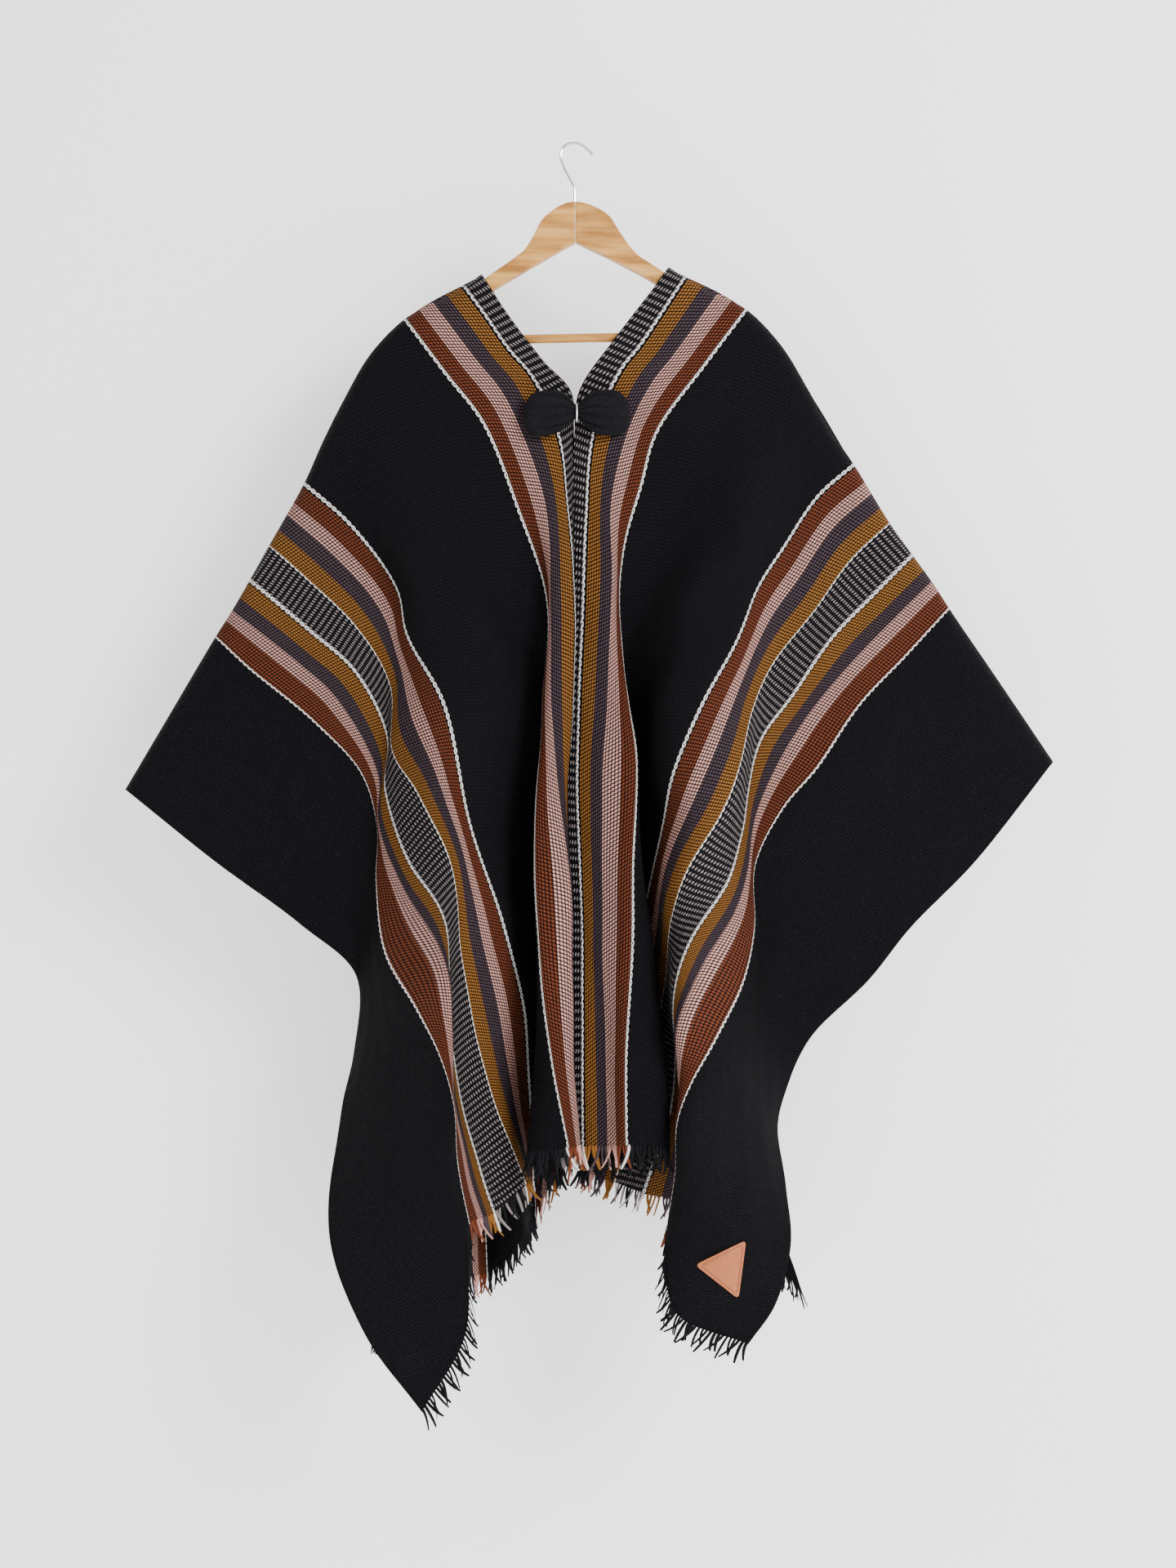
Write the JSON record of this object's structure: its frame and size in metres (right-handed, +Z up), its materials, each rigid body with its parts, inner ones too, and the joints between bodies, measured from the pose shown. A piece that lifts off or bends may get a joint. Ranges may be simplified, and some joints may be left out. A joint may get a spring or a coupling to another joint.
{
  "type": "poncho on hanger",
  "caption": "Open-front striped wool poncho with fringed hems and a cloth bow at the neck, hanging in folds on a wooden hanger with a wire hook.",
  "frame": {"origin": "inner top of the hanger's hook, where it rests on a rail", "axes": "+Z up, -Y towards the poncho's open front, +X to the right as seen from the front"},
  "size_m": [1.079, 0.2326, 1.4613],
  "materials": {
    "wool": "black woven wool with lengthwise stripes",
    "tan_leather": "smooth tan leather",
    "pale_wood": "varnished pale wood",
    "chrome": "polished"
  },
  "bodies": {
    "root": {"left_panel": "wool", "right_panel": "wool", "left_front_fringe": "wool", "right_front_fringe": "wool", "left_back_fringe": "wool", "right_back_fringe": "wool", "bow_left_lobe": "wool", "bow_right_lobe": "wool", "leather_patch": "tan_leather", "hanger_left_half": "pale_wood", "hanger_right_half": "pale_wood", "trouser_bar": "pale_wood", "hook": "chrome", "bow_link": "chrome"}
  },
  "joints": []
}
